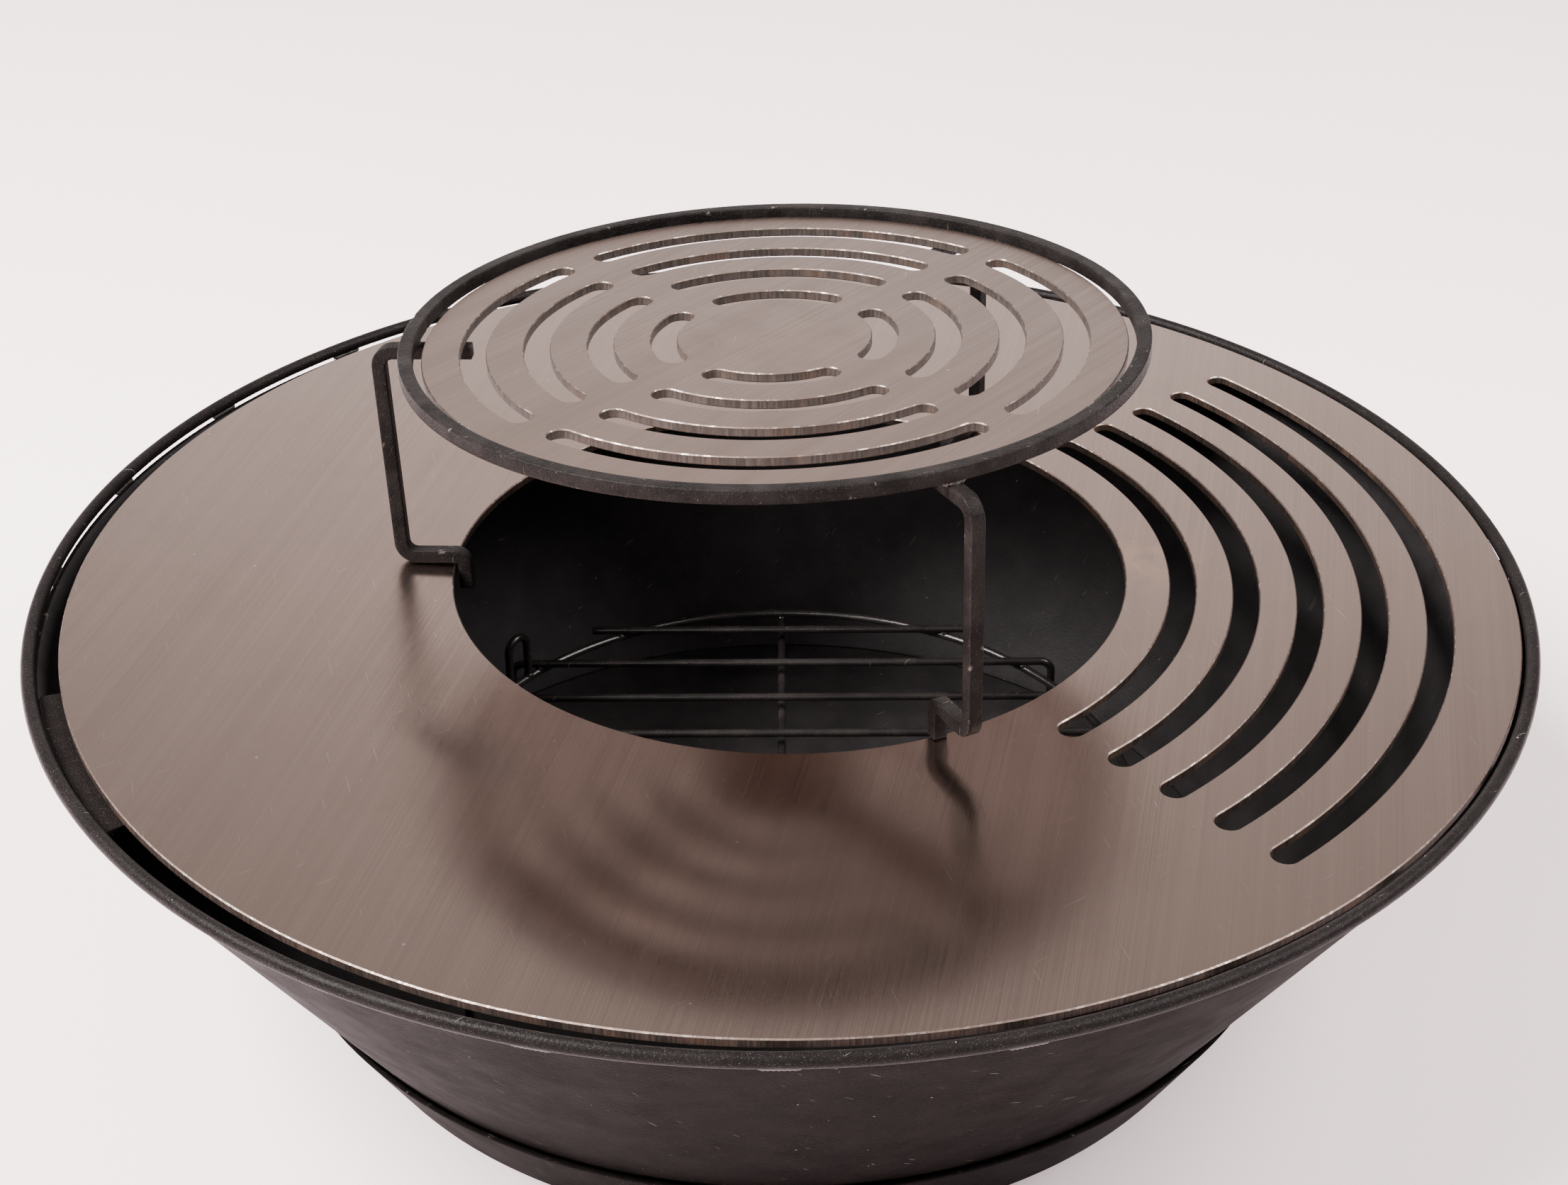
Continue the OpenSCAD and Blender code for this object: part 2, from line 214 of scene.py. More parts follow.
class Build:
    """Collects vertices, faces, face materials and edge wear for one mesh object."""

    def __init__(self):
        self.verts, self.faces, self.slots, self.wear = [], [], [], []

    def add(self, p, wear=0.0):
        self.verts.append(tuple(p))
        self.wear.append(wear)
        return len(self.verts) - 1

    def face(self, ids, slot=0):
        self.faces.append(tuple(ids))
        self.slots.append(slot)

    def rings(self, rows, closed_rows, slot=0):
        """Joins rows of vertices that each form a closed loop."""
        count = len(rows)
        for i in range(count if closed_rows else count - 1):
            a, b = rows[i], rows[(i + 1) % count]
            n = len(a)
            for k in range(n):
                self.face((a[k], a[(k + 1) % n], b[(k + 1) % n], b[k]), slot)

    def sweep(self, path, side, section, closed=False, scale=None, cap=0.3):
        """Section (u along side x tangent, v along side) carried along a flat path."""
        path = [Vector(p) for p in path]
        side = Vector(side)
        count = len(path)
        rows = []
        radius = max(abs(s[0]) for s in section)
        stations = []
        for i, p in enumerate(path):
            ahead = path[(i + 1) % count] if closed else path[min(i + 1, count - 1)]
            behind = path[i - 1] if closed else path[max(i - 1, 0)]
            t = (ahead - behind).normalized()
            stations.append((p, t, scale(i, count) if scale else 1.0))
        if not closed and cap:
            (p0, t0, s0), (p1, t1, s1) = stations[0], stations[-1]
            back = radius * cap
            stations[0] = (p0 + t0 * back, t0, s0)
            stations[-1] = (p1 - t1 * back, t1, s1)
            stations.insert(0, (p0 + t0 * back * 0.3, t0, s0 * (1 - cap * 0.3)))
            stations.insert(0, (p0, t0, s0 * (1 - cap)))
            stations.append((p1 - t1 * back * 0.3, t1, s1 * (1 - cap * 0.3)))
            stations.append((p1, t1, s1 * (1 - cap)))
        for p, t, s in stations:
            out = side.cross(t).normalized()
            rows.append([self.add(p + out * (u * s) + side * (v * s), w) for u, v, w in section])
        self.rings(rows, closed)
        if not closed:
            self.face(reversed(rows[0]))
            self.face(rows[-1])

    def lathe(self, profile, steps):
        """Profile of (r, z, edge) turned about the row's axis."""
        rows = []
        for i in range(steps):
            a = 2 * math.pi * i / steps
            c, s = math.cos(a), math.sin(a)
            rows.append([self.add((r * c, r * s, z), w) for r, z, w in profile])
        self.rings(rows, True)

    def blob(self, centre, size, seed, rough=0.12, across=18, around=24):
        """Uneven closed drop of weld metal with ripples."""
        centre, size = Vector(centre), Vector(size)
        top = self.add(centre + Vector((0, 0, size.z)))
        rows = []
        for i in range(1, across):
            v = math.pi * i / across
            row = []
            for k in range(around):
                u = 2 * math.pi * k / around
                n = Vector((math.sin(v) * math.cos(u), math.sin(v) * math.sin(u), math.cos(v)))
                bump = noise.noise(n * 2.2 + Vector((seed * 3.1, seed, 0)))
                ripple = 0.5 * math.sin(n.x * 14 + seed)
                grow = 1 - rough + rough * (bump + ripple * 0.4)
                row.append(self.add(centre + Vector((n.x * size.x, n.y * size.y, n.z * size.z)) * grow))
            rows.append(row)
        bottom = self.add(centre - Vector((0, 0, size.z * (1 - rough))))
        for k in range(around):
            self.face((top, rows[0][k], rows[0][(k + 1) % around]))
            self.face((bottom, rows[-1][(k + 1) % around], rows[-1][k]))
        for a, b in zip(rows, rows[1:]):
            for k in range(around):
                self.face((a[k], b[k], b[(k + 1) % around], a[(k + 1) % around]))

    def finish(self, name, nodes, body, materials, sharp=35, grain=None, place=None):
        mesh = bpy.data.meshes.new(name)
        mesh.from_pydata(self.verts, [], self.faces)
        mesh.polygons.foreach_set("material_index", self.slots)
        mesh.validate()
        wear = mesh.attributes.new("wear", "FLOAT", "POINT")
        wear.data.foreach_set("value", self.wear)
        obj = bpy.data.objects.new("piece_" + name, mesh)
        bpy.context.scene.collection.objects.link(obj)
        for material in materials:
            mesh.materials.append(material)
        soften(mesh, sharp)
        if grain is not None:
            grain_uv(mesh, grain)
        if place is not None:
            mesh.transform(place)
        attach(obj, body)
        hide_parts(*nodes)


def soften(mesh, sharp):
    """Smooth shading, with edges sharper than the limit left crisp and normals outward."""
    bm = bmesh.new()
    bm.from_mesh(mesh)
    bmesh.ops.recalc_face_normals(bm, faces=bm.faces)
    limit = math.radians(sharp)
    for f in bm.faces:
        f.smooth = True
    for e in bm.edges:
        e.smooth = e.calc_face_angle(math.pi) < limit
    bm.to_mesh(mesh)
    bm.free()


def grain_uv(mesh, turn):
    """UV map whose U runs along the brushing, for the shader's tangent."""
    layer = mesh.uv_layers.new(name="grain")
    c, s = math.cos(turn), math.sin(turn)
    for loop in mesh.loops:
        p = mesh.vertices[loop.vertex_index].co
        layer.data[loop.index].uv = (p.x * c + p.y * s, p.y * c - p.x * s)


# ---- material helpers ------------------------------------------------------------------------


class Shader:
    """Small wrapper that adds and links the nodes of one material."""

    def __init__(self, name):
        self.material = bpy.data.materials.new(name)
        self.material.use_nodes = True
        self.tree = self.material.node_tree
        self.tree.nodes.clear()
        self.out = self.tree.nodes.new("ShaderNodeOutputMaterial")
        self.bsdf = self.tree.nodes.new("ShaderNodeBsdfPrincipled")
        self.tree.links.new(self.bsdf.outputs[0], self.out.inputs[0])
        coord = self.tree.nodes.new("ShaderNodeTexCoord")
        self.coord = coord.outputs["Object"]

    def set(self, **values):
        for key, value in values.items():
            self.bsdf.inputs[key.replace("_", " ")].default_value = value

    def link(self, source, target):
        self.tree.links.new(source, target)

    def feed(self, socket, value):
        if hasattr(value, "is_linked"):
            self.link(value, socket)
        else:
            socket.default_value = value

    def turned(self, turn=0.0, scale=(1.0, 1.0, 1.0)):
        """Object coordinates turned about Z, then scaled."""
        rotate = self.tree.nodes.new("ShaderNodeVectorRotate")
        rotate.rotation_type = "Z_AXIS"
        rotate.inputs["Angle"].default_value = -turn
        self.link(self.coord, rotate.inputs["Vector"])
        multiply = self.tree.nodes.new("ShaderNodeVectorMath")
        multiply.operation = "MULTIPLY"
        self.link(rotate.outputs[0], multiply.inputs[0])
        multiply.inputs[1].default_value = scale
        return multiply.outputs[0]

    def noise(self, scale, detail=3.0, rough=0.55, vector=None, distortion=0.0):
        n = self.tree.nodes.new("ShaderNodeTexNoise")
        n.inputs["Scale"].default_value = scale
        n.inputs["Detail"].default_value = detail
        n.inputs["Roughness"].default_value = rough
        n.inputs["Distortion"].default_value = distortion
        self.link(vector or self.coord, n.inputs["Vector"])
        return n.outputs[0]

    def ramp(self, value, low, high, to_low=0.0, to_high=1.0):
        m = self.tree.nodes.new("ShaderNodeMapRange")
        m.interpolation_type = "SMOOTHSTEP"
        self.link(value, m.inputs["Value"])
        m.inputs["From Min"].default_value = low
        m.inputs["From Max"].default_value = high
        m.inputs["To Min"].default_value = to_low
        m.inputs["To Max"].default_value = to_high
        return m.outputs[0]

    def math(self, operation, a, b=0.0):
        m = self.tree.nodes.new("ShaderNodeMath")
        m.operation = operation
        self.feed(m.inputs[0], a)
        self.feed(m.inputs[1], b)
        return m.outputs[0]

    def mix(self, amount, a, b):
        m = self.tree.nodes.new("ShaderNodeMix")
        m.data_type = "RGBA"
        self.feed(m.inputs[0], amount)
        self.feed(m.inputs[6], a)
        self.feed(m.inputs[7], b)
        return m.outputs[2]

    def near(self, place, size):
        """1 at a place in object coordinates, falling to 0 at the given distance."""
        away = self.tree.nodes.new("ShaderNodeVectorMath")
        away.operation = "DISTANCE"
        self.link(self.coord, away.inputs[0])
        away.inputs[1].default_value = place
        return self.ramp(away.outputs["Value"], 0.0, size, 1.0, 0.0)

    def wear(self):
        a = self.tree.nodes.new("ShaderNodeAttribute")
        a.attribute_name = "wear"
        return a.outputs["Fac"]

    def specks(self, per_metre, largest):
        """Dots scattered one to a cell, up to the given radius in metres."""
        v = self.tree.nodes.new("ShaderNodeTexVoronoi")
        v.inputs["Scale"].default_value = per_metre
        self.link(self.coord, v.inputs["Vector"])
        split = self.tree.nodes.new("ShaderNodeSeparateColor")
        self.link(v.outputs["Color"], split.inputs[0])
        size = self.math("MULTIPLY", split.outputs[0], largest * per_metre)
        size = self.math("MULTIPLY", size, split.outputs[1])
        return self.math("LESS_THAN", v.outputs["Distance"], size)

    def scratches(self, turn, length, width, amount):
        """Thin straight marks along one direction."""
        n = self.noise(1.0, 1.0, 0.5, self.turned(turn, (1 / length, 1 / width, 1 / length)))
        return self.ramp(n, amount, amount + 0.02)

    def bump(self, height, distance):
        b = self.tree.nodes.new("ShaderNodeBump")
        b.inputs["Distance"].default_value = distance
        b.inputs["Strength"].default_value = 1.0
        self.link(height, b.inputs["Height"])
        return b.outputs[0]

    def result(self, colour, roughness, normal=None):
        self.feed(self.bsdf.inputs["Base Color"], colour)
        self.feed(self.bsdf.inputs["Roughness"], roughness)
        if normal:
            self.link(normal, self.bsdf.inputs["Normal"])
        return self.material


def coating(name, dark, light, rough, cell, depth, speck, chip, chip_low, glint_paint, gloss):
    """Textured black coating with dust, painted glints standing in for sparkle, short scratches and
    chips on the edges.
    """
    s = Shader(name)
    s.set(Metallic=0.0, IOR=1.5, Specular_IOR_Level=gloss)
    cloud = s.noise(60.0, 4.0, 0.6)
    colour = s.mix(s.ramp(cloud, 0.35, 0.7), dark, light)
    grain = s.noise(1 / cell, 2.0, 0.6)
    fine = s.noise(3.1 / cell, 1.0, 0.5)
    # Painted highlight: light grey dots mixed into the coat's colour stand in for glints of sparkle.
    painted_glints = s.math("MULTIPLY", s.ramp(fine, 0.66, 0.72), glint_paint)
    colour = s.mix(painted_glints, colour, (0.34, 0.30, 0.28, 1))
    mark = s.math("MAXIMUM", s.specks(150.0, 0.0005), s.scratches(0.6, 0.014, 0.0004, 0.785))
    mark = s.math("MULTIPLY", mark, speck)
    colour = s.mix(mark, colour, (0.42, 0.39, 0.37, 1))
    worn = s.math("MULTIPLY", s.wear(), s.ramp(s.noise(160.0, 3.0, 0.7), chip_low, chip_low + 0.06))
    colour = s.mix(worn, colour, chip)
    roughness = s.ramp(s.noise(40.0, 3.0, 0.6), 0.3, 0.7, rough - 0.03, rough + 0.05)
    roughness = s.math("SUBTRACT", roughness, s.math("MULTIPLY", worn, 0.12))
    return s.result(colour, roughness, s.bump(grain, depth))


def brushed(name, base, tint, turn, line, rough, streak, blooms, dusty, mottled):
    """Brushed steel with straight grain, streaks, heat tints, dust and small scratches."""
    s = Shader(name)
    s.set(Metallic=1.0, Anisotropic=0.8, Anisotropic_Rotation=0.25)
    fine = s.noise(1.0, 4.0, 0.7, s.turned(turn, (5.0, 1 / line, 5.0)))
    broad = s.noise(1.0, 3.0, 0.6, s.turned(turn, (2.2, 1 / (line * 22), 2.2)))
    mottle = s.noise(27.0, 5.0, 0.65, distortion=0.4)
    colour = s.mix(s.ramp(broad, 0.34, 0.68), base, tint)
    colour = s.mix(s.ramp(fine, 0.35, 0.7, 0.0, streak), colour, (0.20, 0.145, 0.12, 1))
    colour = s.mix(s.ramp(mottle, 0.42, 0.75, 0.0, mottled), colour, (0.27, 0.20, 0.165, 1))
    for place, size, hue, amount in blooms:
        spread = s.math("MULTIPLY", s.near(place, size), s.ramp(s.noise(70.0, 4.0), 0.35, 0.6))
        colour = s.mix(s.math("MULTIPLY", spread, amount), colour, hue)
    dust = s.math("MAXIMUM", s.specks(70.0, 0.0009), s.specks(23.0, 0.0011))
    cut = s.scratches(turn + 0.5, 0.02, 0.00035, 0.775)
    cut = s.math("MAXIMUM", cut, s.scratches(turn - 0.75, 0.015, 0.0003, 0.785))
    marks = s.math("MULTIPLY", s.math("MAXIMUM", dust, cut), dusty)
    colour = s.mix(marks, colour, (0.86, 0.80, 0.76, 1))
    roughness = s.ramp(fine, 0.3, 0.7, rough - 0.05, rough + 0.07)
    roughness = s.math("ADD", roughness, s.ramp(mottle, 0.4, 0.7, 0.0, 0.02))
    tangent = s.tree.nodes.new("ShaderNodeTangent")
    tangent.direction_type = "UV_MAP"
    tangent.uv_map = "grain"
    s.link(tangent.outputs[0], s.bsdf.inputs["Tangent"])
    return s.result(colour, roughness, s.bump(fine, 0.00002))


def cut_face(name, dark, light, rough, rust):
    """Cut side of a plate: brown scale with upright drag lines."""
    s = Shader(name)
    s.set(Metallic=0.55)
    lines = s.noise(1.0, 2.0, 0.6, s.turned(0.0, (900.0, 900.0, 60.0)))
    patch = s.noise(45.0, 4.0, 0.65)
    colour = s.mix(s.ramp(lines, 0.35, 0.7), dark, light)
    colour = s.mix(s.ramp(patch, 0.5, 0.68, 0.0, rust), colour, (0.12, 0.062, 0.036, 1))
    return s.result(colour, s.ramp(patch, 0.3, 0.7, rough, rough + 0.15), s.bump(lines, 0.00008))


def slag_edge(name, bright, dull, rough, share):
    """Narrow bevel along a cut: bare bright metal, broken by dull scale."""
    s = Shader(name)
    s.set(Metallic=1.0)
    broken = s.noise(230.0, 3.0, 0.7)
    colour = s.mix(s.ramp(broken, share - 0.08, share + 0.08), bright, dull)
    return s.result(colour, s.ramp(broken, 0.3, 0.7, rough, rough + 0.2), s.bump(broken, 0.0002))


COAT_DARK = (0.0050, 0.0041, 0.0040, 1)
COAT_LIGHT = (0.0068, 0.0056, 0.0054, 1)
COAT_CHIP = (0.05, 0.043, 0.04, 1)
LINING_CHIP = (0.08, 0.07, 0.065, 1)
black = coating("black_powder_coat", COAT_DARK, COAT_LIGHT, rough=0.42, cell=0.0011, depth=0.00022,
                speck=0.35, chip=COAT_CHIP, chip_low=0.64, glint_paint=0.10, gloss=0.003)
rod_coat = coating("rod_powder_coat", COAT_DARK, COAT_LIGHT, rough=0.40, cell=0.0011,
                   depth=0.00022, speck=0.35, chip=COAT_CHIP, chip_low=0.64, glint_paint=0.14, gloss=0.045)
# Inside of the bowl: the same black coat made about three times lighter, as painted light standing in
# for the light that falls inside the bowl.
lit_inside_coat = coating("bowl_coat_painted_light", (0.015, 0.0134, 0.0138, 1), (0.021, 0.0184, 0.019, 1), rough=0.5,
                 cell=0.0013, depth=0.00022, speck=0.3, chip=LINING_CHIP, chip_low=0.64,
                 glint_paint=0.06, gloss=0.10)
rack_coat = coating("rack_scale", (0.0048, 0.0039, 0.0038, 1), (0.011, 0.0093, 0.0088, 1),
                    rough=0.46, cell=0.0010, depth=0.00030, speck=0.25,
                    chip=(0.06, 0.051, 0.047, 1), chip_low=0.64, glint_paint=0.12, gloss=0.05)
wire_coat = coating("wire_lacquer", (0.008, 0.007, 0.0068, 1), (0.016, 0.014, 0.013, 1),
                    rough=0.24, cell=0.0016, depth=0.00012, speck=0.5, chip=LINING_CHIP,
                    chip_low=0.7, glint_paint=0.04, gloss=0.42)
weld = coating("weld_bead", (0.016, 0.014, 0.013, 1), (0.04, 0.034, 0.032, 1), rough=0.4,
               cell=0.0012, depth=0.0003, speck=0.5, chip=(0.16, 0.14, 0.125, 1), chip_low=0.55,
               glint_paint=0.3, gloss=0.36)
cut_brown = cut_face("cut_side", (0.020, 0.014, 0.0115, 1), (0.066, 0.047, 0.038, 1),
                     rough=0.45, rust=0.35)
cut_rust = cut_face("cut_side_rusty", (0.024, 0.0195, 0.0165, 1), (0.058, 0.047, 0.040, 1),
                    rough=0.55, rust=0.25)
edge_bright = slag_edge("bevel_bare", (0.46, 0.375, 0.335, 1), (0.17, 0.125, 0.105, 1),
                        rough=0.32, share=0.42)
disc_edge = slag_edge("bevel_slag", (0.33, 0.27, 0.24, 1), (0.095, 0.07, 0.058, 1),
                      rough=0.38, share=0.42)

# ---- plates with slots -----------------------------------------------------------------------


def circle(axis, r, steps=360):
    turns = [2 * math.pi * k / steps for k in range(steps)]
    return [(axis[0] + r * math.cos(t), axis[1] + r * math.sin(t)) for t in turns]


def slot_outline(axis, r, width, mid, span, grow, step=math.radians(1.2), cap_steps=12):
    """Closed outline of a curved slot with round ends, made wider by grow on each side."""
    h = width / 2 + grow
    count = max(4, int(span / step))
    start, end = mid - span / 2, mid + span / 2
    sweep = [start + span * k / count for k in range(count + 1)]
    out = [(axis[0] + (r - h) * math.cos(a), axis[1] + (r - h) * math.sin(a)) for a in sweep]
    for angle, first in ((end, math.pi), (start, 0.0)):
        cx, cy = axis[0] + r * math.cos(angle), axis[1] + r * math.sin(angle)
        for k in range(1, cap_steps):
            t = angle + first - math.pi * k / cap_steps
            out.append((cx + h * math.cos(t), cy + h * math.sin(t)))
        if angle == end:
            out += [(axis[0] + (r + h) * math.cos(a), axis[1] + (r + h) * math.sin(a))
                    for a in reversed(sweep)]
    return out


FLAT, CUT, BEVEL = 0, 1, 2   # order of a plate's materials


def plate(name, body, z0, z1, bevel, outlines, materials, grain, place=None):
    """Flat plate. Each outline is a function of how far it is moved into the metal."""
    b = Build()
    tops, bottoms = [], []
    for outline in outlines:
        levels = ((bevel, z1), (0.0, z1 - bevel), (0.0, z0 + bevel), (bevel, z0))
        rows = [[b.add((x, y, z)) for x, y in outline(inset)] for inset, z in levels]
        for i, part in enumerate((BEVEL, CUT, BEVEL)):
            b.rings(rows[i:i + 2], False, part)
        tops.append(rows[0])
        bottoms.append(rows[-1])
    for loops in (tops, bottoms):
        ids = [i for loop in loops for i in loop]
        flat = [[Vector((b.verts[i][0], b.verts[i][1], 0.0)) for i in loop] for loop in loops]
        for tri in tessellate_polygon(flat):
            b.face([ids[k] for k in tri], FLAT)
    b.finish(name, [name], body, materials, sharp=30, grain=grain, place=place)


g_lo, g_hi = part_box("griddle_ring")
g_mid = middle("griddle_ring")
hole_r, griddle_r = radii("griddle_ring", g_mid)


def griddle_ring():
    """Griddle with its hole and the fan of curved vents."""
    vent_first = hole_r + VENT_INNER_LAND + VENT_WIDTH / 2
    vent_last = griddle_r - VENT_OUTER_LAND - VENT_WIDTH / 2
    outlines = [lambda inset: circle(g_mid, griddle_r - inset, steps=480),
                lambda inset: circle(g_mid, hole_r + inset, steps=300)]
    for i in range(VENT_COUNT):
        r = vent_first + i * (vent_last - vent_first) / (VENT_COUNT - 1)
        outlines.append(lambda inset, r=r: slot_outline(
            g_mid, r, VENT_WIDTH, VENT_TURN, VENT_ANGLE, inset))
    land_r = hole_r + VENT_INNER_LAND / 2
    blooms = [
        ((g_mid.x + land_r, 0.0, g_hi.z), 0.040, (0.62, 0.42, 0.31, 1), 0.55),
        ((g_mid.x - land_r * 0.7, -land_r * 0.75, g_hi.z), 0.05, (0.30, 0.22, 0.18, 1), 0.2),
    ]
    steel = brushed("griddle_steel", (0.475, 0.36, 0.31, 1), (0.445, 0.335, 0.29, 1), GRAIN_TURN,
                    line=0.00026, rough=0.175, streak=0.28, blooms=blooms, dusty=0.5, mottled=0.10)
    plate("griddle_ring", "griddle", g_lo.z, g_hi.z, GRIDDLE_BEVEL, outlines,
          [steel, cut_brown, edge_bright], GRAIN_TURN)


rack = rack_place()
disc_away, disc_up = rack_points("slotted_disc")
disc_r = float(disc_away.max())


def slotted_disc():
    """Disc with rings of slots, four to a ring, with crossed spokes left between them."""
    low, top = float(disc_up.min()), float(disc_up.max())
    last = disc_r - DISC_LAND - DISC_SLOT_WIDTH / 2
    quarter = 2 * math.pi / DISC_QUARTERS
    outlines = [lambda inset: circle((0, 0), disc_r - inset, steps=360)]
    for i in range(DISC_RINGS):
        r = DISC_FIRST_R + i * (last - DISC_FIRST_R) / (DISC_RINGS - 1)
        land = 2 * math.asin((DISC_SPOKE + DISC_SLOT_WIDTH) / 2 / r)
        for q in range(DISC_QUARTERS):
            outlines.append(lambda inset, r=r, q=q, land=land: slot_outline(
                (0, 0), r, DISC_SLOT_WIDTH, DISC_TURN + quarter * q, quarter - land, inset))
    blooms = [(rack @ Vector((0, 0, top)), 0.12, (0.34, 0.25, 0.21, 1), 0.4)]
    steel = brushed("disc_steel", (0.30, 0.217, 0.183, 1), (0.26, 0.187, 0.156, 1), DISC_GRAIN_TURN,
                    line=0.0007, rough=0.30, streak=0.25, blooms=blooms, dusty=0.4, mottled=0.35)
    plate("slotted_disc", "disc", low, top, DISC_BEVEL, outlines,
          [steel, cut_rust, disc_edge], DISC_GRAIN_TURN, rack)


griddle_ring()
slotted_disc()

# ---- bowl and stand --------------------------------------------------------------------------
UP = (0, 0, 1)
BEAD_END, BEAD_TAPER = 0.45, 5           # size of a bead's ends, and how fast it grows from them
BEAD_BODY, BEAD_RIPPLE = 0.93, 0.07      # mean size, and how far a ripple goes either way


def turned_node(node, body, radius, outside, inward_coat, steps=300):
    """Turned sheet ring. The strips that face its axis take the inward coat's material."""
    b = Build()
    profile = rounded(corners(node), radius)
    b.lathe(profile, steps)
    count = len(profile)
    inward = [profile[(k + 1) % count][1] < profile[k][1] - CORNER_MERGE for k in range(count)]
    b.slots = [int(inward[i % count]) for i in range(len(b.faces))]
    b.finish(node, [node], body, [outside, inward_coat])


def sector_node(node, body, radius, steps=24):
    """Part of a turned ring, such as a ledge or a lug, with rounded corners."""
    p = points(node)
    mid = math.atan2(p[:, 1].mean(), p[:, 0].mean())
    c, s = math.cos(-mid), math.sin(-mid)
    off = np.arctan2(p[:, 0] * s + p[:, 1] * c, p[:, 0] * c - p[:, 1] * s)
    low, high = float(off.min()), float(off.max())
    profile = rounded(corners(node), radius)
    mean_r = sum(q[0] for q in profile) / len(profile)
    mean_z = sum(q[1] for q in profile) / len(profile)
    span, ease = high - low, END_EASE / mean_r

    def pull(a, r, z):
        """Draws the profile in at the two ends, which rounds their edges."""
        near = min(a - (mid + low), (mid + high) - a) / ease
        k = 0.0 if near >= 1 else 1 - math.sqrt(max(0.0, 1 - (1 - near) ** 2))
        d = Vector((mean_r - r, mean_z - z))
        return (d.normalized() * END_EASE * k) if d.length > 0 else (0.0, 0.0)

    stops = [0.0, 0.15, 0.5, 1.0]
    angles = [ease * t for t in stops]
    angles += [ease + (span - 2 * ease) * (k / steps) for k in range(1, steps)]
    angles += [span - ease * t for t in reversed(stops)]
    b = Build()
    rows = []
    for a in angles:
        turn = mid + low + a
        row = []
        for r, z, w in profile:
            dr, dz = pull(turn, r, z)
            row.append(b.add(((r + dr) * math.cos(turn), (r + dr) * math.sin(turn), z + dz), w))
        rows.append(row)
    b.rings(rows, False)
    b.face(reversed(rows[0]))
    b.face(rows[-1])
    b.finish(node, [node], body, [black])


def bowl_floor(steps=240, edge=0.0005, lip=0.0002, rim=0.012, land=0.004):
    """Round floor with a rounded lower edge. Its top slopes down under the wall's foot."""
    lo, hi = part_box("bowl_floor")
    r_out = radii("bowl_floor")[1]
    wall_foot = min(r for r, z in corners("bowl_wall") if z < hi.z + 2 * edge)
    profile = [(r_out * 0.5, lo.z), (r_out - rim, lo.z)]
    profile += arc(r_out - edge, lo.z + edge, edge, -90, 0, 4)
    profile += [(r_out, hi.z - lip), (wall_foot + 2 * lip, hi.z)]
    profile += [(wall_foot, hi.z), (wall_foot - land, hi.z), (r_out * 0.5, hi.z)]
    b = Build()
    axis_low = b.add((0, 0, lo.z))
    axis_high = b.add((0, 0, hi.z))
    rows = []
    for i in range(steps):
        a = 2 * math.pi * i / steps
        rows.append([b.add((r * math.cos(a), r * math.sin(a), z)) for r, z in profile])
    for one, two in zip(rows, rows[1:] + rows[:1]):
        b.face((axis_low, two[0], one[0]))
        b.face((axis_high, one[-1], two[-1]))
        for k in range(len(one) - 1):
            b.face((one[k], two[k], two[k + 1], one[k + 1]))
    # The floor takes the lighter inside coat, which is painted light.
    b.finish("bowl_floor", ["bowl_floor"], "bowl", [lit_inside_coat])


def ring_path(r, z, steps):
    """Level circle about the piece's own axis."""
    return [(x, y, z) for x, y in circle((0, 0), r, steps)]


def rim_rod():
    """Round rod along the bowl's rim."""
    r_in, r_out = radii("rim_rod")
    path = ring_path((r_in + r_out) / 2, middle("rim_rod").z, steps=480)
    b = Build()
    b.sweep(path, UP, round_section((r_out - r_in) / 2, 24), closed=True)
    b.finish("rim_rod", ["rim_rod"], "bowl", [rod_coat])


def rim_stitches(steps=54, ripples=9):
    """Short weld beads between the rod and the wall, each with its own ripples."""
    lo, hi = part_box("rim_stitches")
    r = sum(radii("rim_stitches")) / 2
    span = STITCH_LEN / (sum(radii("rim_rod")) / 2)
    b = Build()
    for i in range(STITCH_COUNT):
        mid = 2 * math.pi * i / STITCH_COUNT
        turns = [mid + span * (k / steps - 0.5) for k in range(steps + 1)]
        path = [(r * math.cos(t), r * math.sin(t), (lo.z + hi.z) / 2) for t in turns]

        def swell(k, count, i=i):
            t = k / (count - 1)
            end = min(1.0, BEAD_TAPER * min(t, 1 - t) + BEAD_END)
            return end * (BEAD_BODY + BEAD_RIPPLE * math.sin(2 * math.pi * ripples * t + i))

        b.sweep(path, UP, round_section((hi.z - lo.z) / 2, 14), scale=swell)
    b.finish("rim_stitches", ["rim_stitches"], "bowl", [weld])


turned_node("stand_ring", "stand", SHEET_EDGE, black, black)
# The wall's inner face takes the lighter inside coat, which is painted light.
turned_node("bowl_wall", "bowl", SHEET_EDGE, black, lit_inside_coat)
for n in range(1, SUPPORT_COUNT + 1):
    sector_node(f"stand_lug_{n}", "stand", LUG_EDGE)
    sector_node(f"griddle_ledge_{n}", "bowl", LEDGE_EDGE)
bowl_floor()
rim_rod()
rim_stitches()

# ---- warming rack ----------------------------------------------------------------------------
BUTT_TURN = math.radians(171)    # where the ring's ends meet
BUTT_GAP = 0.0016
BUTT_SIZE = 0.90
WELD_BULGE = (1.02, 1.02, 0.9)   # size of the weld drop, in halves of the weld's height
TOE_BULGE = (0.62, 0.62, 0.55)
ring_away = rack_points("rack_ring")[0]
rack_in, rack_out = float(ring_away.min()), float(ring_away.max())


